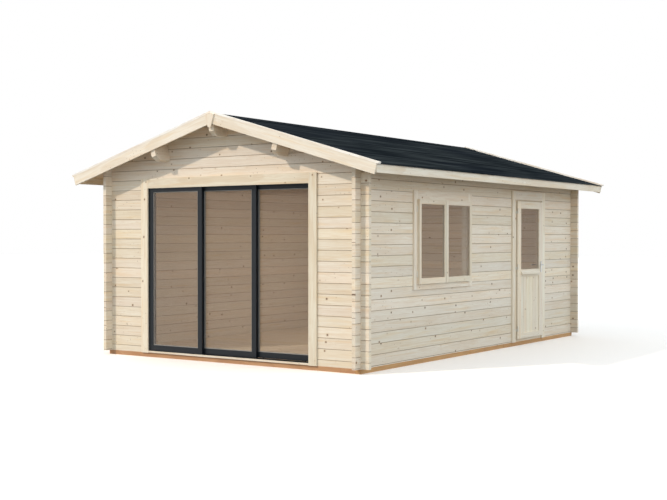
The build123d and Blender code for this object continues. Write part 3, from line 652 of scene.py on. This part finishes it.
def framed_boards(name, on_long_wall, middle, inner_half, number):
    """Finish of a frame of boards round an opening, each side a board of its own."""
    finish, tree, shader = new_finish(name)
    x, y, z = place_xyz(tree)
    level, deep = (y, x) if on_long_wall else (x, y)
    off = reckon(tree, "SUBTRACT", level, middle)
    upright = reckon(tree, "GREATER_THAN", reckon(tree, "ABSOLUTE", off), inner_half)
    flat, along, across = turn_grain(tree, upright, off, z)
    # a number for each board: by its side of the opening where upright, by its height where level
    over_under = reckon(tree, "MULTIPLY", reckon(tree, "ROUND", z), flat)
    which = reckon(tree, "MULTIPLY_ADD", reckon(tree, "SIGN", off), upright, over_under)
    board = reckon(tree, "MULTIPLY_ADD", which, 3.0, number)
    # the pattern across the grain starts again in every strip, so each board lies near its pith
    strip = reckon(tree, "FRACT", reckon(tree, "MULTIPLY", across, strips_per_metre))
    across = reckon(tree, "MULTIPLY", strip, 1 / strips_per_metre)
    across = reckon(tree, "SUBTRACT", across, strip_middle)
    solid_wood(tree, shader, along, across, deep, board, joinery_pale, spruce_late, knot=0.0085)
    return finish


for name, on_long_wall, board_width, number in (
    ("sliding_casing", False, 0.105, 51.0),
    ("window_casing", True, 0.090, 63.0),
    ("window_frame", True, 0.062, 71.0),
    ("door_casing", True, 0.098, 83.0),
    ("door_frame", True, 0.030, 97.0),
):
    low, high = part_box(name)
    axis = 1 if on_long_wall else 0
    middle = (low[axis] + high[axis]) / 2
    inner_half = (high[axis] - low[axis]) / 2 - board_width
    dress(framed_boards(f"{name}_spruce", on_long_wall, middle, inner_half, number), name)


# Window: two sashes of planed spruce side by side, hung on pale zinc-plated barrel hinges. A bead
# with a rounded edge is pinned round each pane.
sash_slit = 0.003
sash_stile = 0.040
pane_rebate = 0.008
bead_face = 0.004
window_bead = 0.009
low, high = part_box("window_sashes")
sash_half = (high.y - low.y) / 2
sash_middle = (low.y + high.y) / 2
sash_off = (sash_half + sash_slit) / 2


def against_long_wall(x, y, z):
    """Stands what is drawn flat up against the long wall, facing out, with its middle at a place."""
    stand_up = Matrix(((0, 0, 1, 0), (1, 0, 0, 0), (0, 1, 0, 0), (0, 0, 0, 1)))
    return Matrix.Translation((x, y, z)) @ stand_up


sash_wood, tree, shader = new_finish("window_sash_spruce")
x, y, z = place_xyz(tree)
off_window = reckon(tree, "SUBTRACT", y, sash_middle)
off = reckon(tree, "SUBTRACT", reckon(tree, "ABSOLUTE", off_window), sash_off)
inner_half = (sash_half - sash_slit) / 2 - sash_stile
upright = reckon(tree, "GREATER_THAN", reckon(tree, "ABSOLUTE", off), inner_half)
flat, along, across = turn_grain(tree, upright, y, z)
off_height = reckon(tree, "SUBTRACT", z, (low.z + high.z) / 2)
# each stile and rail of each sash has a board number of its own
sash = reckon(tree, "SIGN", off_window)
stile = reckon(tree, "MULTIPLY", reckon(tree, "SIGN", off), upright)
rail = reckon(tree, "MULTIPLY", reckon(tree, "SIGN", off_height), flat)
which = reckon(tree, "MULTIPLY_ADD", rail, 7.0, reckon(tree, "MULTIPLY", sash, 13.0))
which = reckon(tree, "MULTIPLY_ADD", stile, 3.0, which)
solid_wood(
    tree, shader, along, across, x, which, joinery_pale, spruce_late, knot=0.006, knot_every=0.22
)
dress(sash_wood, "window_sashes")

pane_low, pane_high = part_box("window_glass")
pane_height = pane_high.z - pane_low.z - 2 * pane_rebate
pane_width = sash_half - sash_slit - 2 * sash_stile
beads = bmesh.new()
for sign in (-1, 1):
    pane_middle = (pane_low.z + pane_high.z) / 2
    to_wall = against_long_wall(pane_high.x, sash_middle + sign * sash_off, pane_middle)
    add_ring(beads, to_wall, pane_width, pane_height, bead_face, window_bead)
keep("window_beads", beads, sash_wood, "house")


# Side door: a planed spruce leaf with a pane above, a panel of grooved boards below and a rain ledge
# between, on three lift-off hinges of zinc-plated steel. The lever on each face is bent from round
# bar and turns with the spindle.
panel_half = 0.280
panel_foot = 0.155
panel_head = 0.897
panel_boards = 6
door_bead = 0.012
low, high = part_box("door_leaf")
leaf_middle = (low.y + high.y) / 2
leaf_wood, tree, shader = new_finish("door_leaf_spruce")
x, y, z = place_xyz(tree)
off = reckon(tree, "SUBTRACT", y, leaf_middle)
stile = reckon(tree, "GREATER_THAN", reckon(tree, "ABSOLUTE", off), panel_half)
over_foot = reckon(tree, "GREATER_THAN", z, panel_foot)
panel = reckon(tree, "MULTIPLY", over_foot, reckon(tree, "LESS_THAN", z, panel_head))
upright = reckon(tree, "MAXIMUM", stile, panel)
flat, along, across = turn_grain(tree, upright, y, z)
# each stile, rail and grooved board has a number of its own
boards, _ = in_rows(tree, off, -panel_half, 2 * panel_half / panel_boards)
rail = reckon(tree, "MULTIPLY", reckon(tree, "ROUND", z), flat)
field = reckon(tree, "MULTIPLY", panel, reckon(tree, "SUBTRACT", 1.0, stile))
which = reckon(tree, "MULTIPLY_ADD", boards, field, reckon(tree, "MULTIPLY", rail, 7.0))
edge = reckon(tree, "MULTIPLY", stile, reckon(tree, "SIGN", off))
which = reckon(tree, "MULTIPLY_ADD", edge, 20.0, which)
solid_wood(tree, shader, along, across, x, which, joinery_pale, spruce_late, knot=0.007)
dress(leaf_wood, "door_leaf")

pane_low, pane_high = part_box("door_glass")
pane_width = pane_high.y - pane_low.y - 2 * pane_rebate
pane_height = pane_high.z - pane_low.z - 2 * pane_rebate
beads = bmesh.new()
to_wall = against_long_wall(pane_high.x, leaf_middle, (pane_low.z + pane_high.z) / 2)
add_ring(beads, to_wall, pane_width, pane_height, bead_face, door_bead)
keep("door_beads", beads, leaf_wood, "side_door")

zinc_dark = (0.660, 0.620, 0.530, 1)
zinc_pale = (0.780, 0.740, 0.640, 1)
finish, tree, shader = new_finish("zinc_plate")
spangle = cloudy(tree, place_on(tree), scale=160.0, detail=2.0)
tree.links.new(blend_colour(tree, spangle, zinc_dark, zinc_pale), shader.inputs["Base Color"])
tree.links.new(reckon(tree, "MULTIPLY_ADD", spangle, 0.25, 0.28), shader.inputs["Roughness"])
shader.inputs["Metallic"].default_value = 0.35
dress(finish, "door_hinge_knuckles", "door_hinge_pins", "window_hinges")

steel_dark = (0.520, 0.525, 0.525, 1)
steel_pale = (0.640, 0.645, 0.645, 1)
finish, tree, shader = new_finish("brushed_lever")
x, y, z = place_xyz(tree)
brush_place = join_xyz(tree, x, reckon(tree, "MULTIPLY", y, 0.05), z)
brushed = cloudy(tree, brush_place, scale=900.0, detail=1.0)
tree.links.new(blend_colour(tree, brushed, steel_dark, steel_pale), shader.inputs["Base Color"])
tree.links.new(reckon(tree, "MULTIPLY_ADD", brushed, 0.2, 0.25), shader.inputs["Roughness"])
shader.inputs["Metallic"].default_value = 0.9
dress(finish, "door_handle_plates")

grip = 0.008
bend = 0.015
bend_steps = 8
plate_gap = 0.0001
tip_round = 0.003
plates_low, plates_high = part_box("door_handle_plates")
low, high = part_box("door_lever")
neck_y = high.y - grip
neck_z = high.z - grip


def pull(mesh, cap, to_place):
    """Draws a bar's end face out to a new place and gives the new end face."""
    grown = bmesh.ops.extrude_face_region(mesh, geom=[cap])["geom"]
    bmesh.ops.transform(mesh, matrix=to_place, verts=verts_in(grown))
    bmesh.ops.delete(mesh, geom=[cap], context="FACES_ONLY")
    return next(item for item in grown if isinstance(item, bmesh.types.BMFace))


handles = bmesh.new()
for sign, face, tip in ((1, plates_high.x, high.x), (-1, plates_low.x, low.x)):
    start = Vector((face + sign * plate_gap, neck_y, neck_z))
    hub = Vector((tip - sign * (grip + bend), neck_y - bend, neck_z))
    disc = bmesh.ops.create_circle(handles, cap_ends=True, segments=24, radius=grip)["verts"]
    set_up = Matrix.Translation(start) @ Matrix.Rotation(math.pi / 2, 4, "Y")
    bmesh.ops.transform(handles, matrix=set_up, verts=disc)
    cap = pull(handles, disc[0].link_faces[0], Matrix.Translation((hub.x - start.x, 0, 0)))
    step = Matrix.Rotation(-sign * math.pi / 2 / bend_steps, 4, "Z")
    turn = Matrix.Translation(hub) @ step @ Matrix.Translation(-hub)
    for _ in range(bend_steps):
        cap = pull(handles, cap, turn)
    cap = pull(handles, cap, Matrix.Translation((0, low.y - hub.y, 0)))
    ease_edges(handles, list(cap.edges), tip_round, steps=2)
bmesh.ops.holes_fill(handles, edges=[edge for edge in handles.edges if edge.is_boundary])
lever_handles = keep("lever_handles", handles, finish, "lever")
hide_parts("door_lever")


# Studio: a white floor and a white surround that lights evenly from all round, one soft warm sun
# from the front left, a wide pale fill on the long wall, and a warm lamp inside the room.
floor_half = 60.0
floor_grey = (0.20, 0.20, 0.19, 1)
floor_white = (1.0, 0.94, 0.89, 1)
floor_glow = 0.07
sky_light = (0.86, 0.94, 1.0, 1)
sky_white = (1, 1, 1, 1)
sky_level = 1.05


def seen_itself(tree):
    """1 for the rays that show the studio itself, straight, in a gloss or through a pane."""
    rays = tree.nodes.new("ShaderNodeLightPath").outputs
    in_object = reckon(tree, "MAXIMUM", rays["Is Glossy Ray"], rays["Is Transmission Ray"])
    return reckon(tree, "MAXIMUM", rays["Is Camera Ray"], in_object)


def add_sun(name, level, spread, colour, direction):
    """Adds a sun that shines in one direction, with its spread in degrees."""
    lamp = bpy.data.lights.new(name, "SUN")
    lamp.energy = level
    lamp.angle = math.radians(spread)
    lamp.color = colour
    sun = bpy.data.objects.new(name, lamp)
    sun.rotation_euler = Vector(direction).to_track_quat("-Z", "Y").to_euler()
    bpy.context.scene.collection.objects.link(sun)


floor = bmesh.new()
bmesh.ops.create_grid(floor, x_segments=1, y_segments=1, size=floor_half)
data = bpy.data.meshes.new("studio_floor")
floor.to_mesh(data)
floor.free()
ground = bpy.data.objects.new("studio_floor", data)
bpy.context.scene.collection.objects.link(ground)
finish, tree, shader = new_finish("studio_white")
seen = seen_itself(tree)
tree.links.new(blend_colour(tree, seen, floor_grey, floor_white), shader.inputs["Base Color"])
shader.inputs["Roughness"].default_value = 0.9
shader.inputs["Emission Color"].default_value = (1, 1, 1, 1)
tree.links.new(reckon(tree, "MULTIPLY", seen, floor_glow), shader.inputs["Emission Strength"])
data.materials.append(finish)

world = bpy.data.worlds.new("studio_surround")
bpy.context.scene.world = world
world.use_nodes = True
tree = world.node_tree
surround = tree.nodes["Background"]
seen = seen_itself(tree)
tree.links.new(blend_colour(tree, seen, sky_light, sky_white), surround.inputs["Color"])
# it is seen as plain white, at 1, and sheds light at a level of its own
strength = reckon(tree, "MULTIPLY_ADD", seen, 1.0 - sky_level, sky_level)
tree.links.new(strength, surround.inputs["Strength"])

add_sun("studio_sun", 1.86, 1.6, (1.0, 0.87, 0.74), (0.6, 1.0, -0.88))
add_sun("side_fill", 0.70, 50, (0.92, 0.97, 1.0), (-1.0, 0.0, -0.35))

room_data = bpy.data.lights.new("room_light", "AREA")
room_data.shape = "RECTANGLE"
room_data.size = 1.8
room_data.size_y = 4.0
room_data.energy = 18.0
room_data.color = (1.0, 0.88, 0.70)
room = bpy.data.objects.new("room_light", room_data)
room.location = (0.0, 0.0, 2.12)
room.visible_camera = False
room.visible_glossy = False
bpy.context.scene.collection.objects.link(room)

camera_data = bpy.data.cameras.new("photo_camera")
camera_data.sensor_width = 36.0
camera_data.lens = 60.78
camera_data.clip_end = 200.0
camera = bpy.data.objects.new("photo_camera", camera_data)
camera.location = (8.122, -12.406, 1.411)
camera.rotation_euler = (math.radians(89.325), 0.0, math.radians(34.558))
bpy.context.scene.collection.objects.link(camera)
bpy.context.scene.camera = camera
bpy.context.scene.view_settings.view_transform = "Standard"
